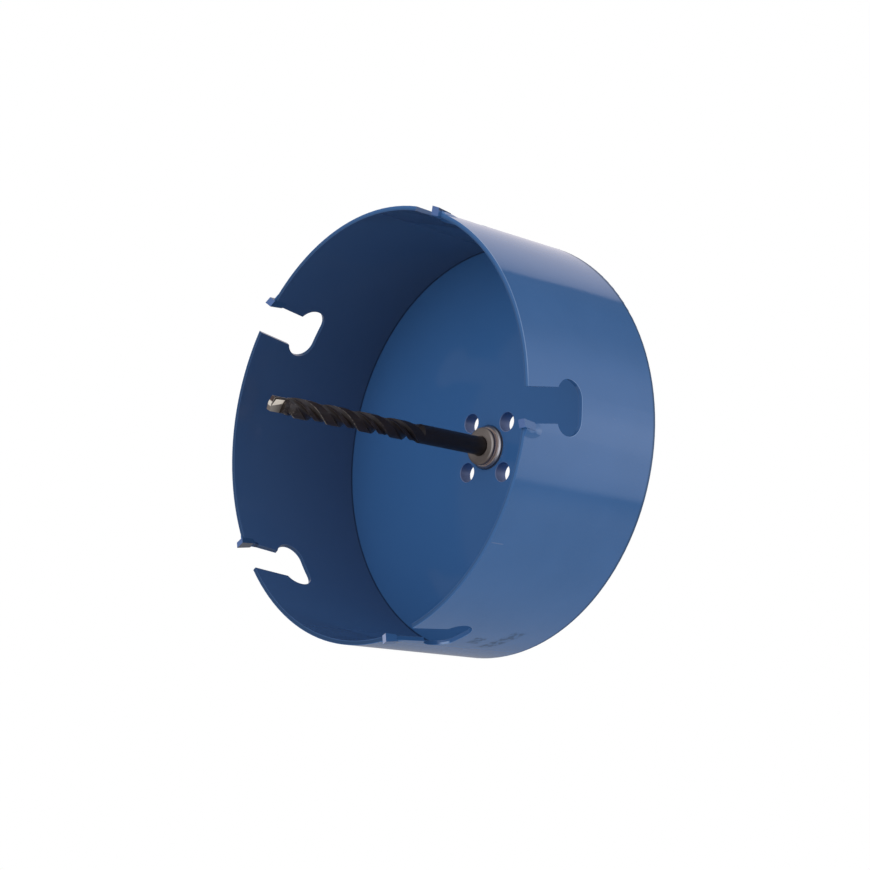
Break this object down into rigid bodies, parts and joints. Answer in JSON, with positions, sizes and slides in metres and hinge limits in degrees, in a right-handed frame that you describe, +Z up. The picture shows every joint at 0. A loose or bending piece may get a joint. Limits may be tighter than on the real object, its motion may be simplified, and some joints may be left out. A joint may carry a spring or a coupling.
{
  "type": "hole saw",
  "caption": "Painted steel hole saw: toothed cup with carbide tips and slotted gullets, base plate, hex-shank arbor and carbide-tipped pilot drill",
  "frame": {"origin": "where the tool's axis meets the base plate's back face, at the arbor's seat", "axes": "the tool's axis lies along Y, with the toothed mouth and the pilot drill towards -Y and the shank towards +Y; +Z up"},
  "size_m": [0.1524, 0.155, 0.1528],
  "materials": {
    "blue_paint": "glossy",
    "painted_carbide": "glossy",
    "turned_steel": "satin",
    "black_drill_steel": "satin",
    "bare_carbide": "satin",
    "black_screw_steel": "satin"
  },
  "bodies": {
    "root": {"saw_shell": "blue_paint", "backing_plate": "blue_paint", "carbide_tip_1": "painted_carbide", "carbide_tip_2": "painted_carbide", "carbide_tip_3": "painted_carbide", "carbide_tip_4": "painted_carbide", "carbide_tip_5": "painted_carbide", "arbor": "turned_steel", "pilot_drill": "black_drill_steel", "pilot_tip": "bare_carbide", "drill_set_screw": "black_screw_steel"}
  },
  "joints": []
}
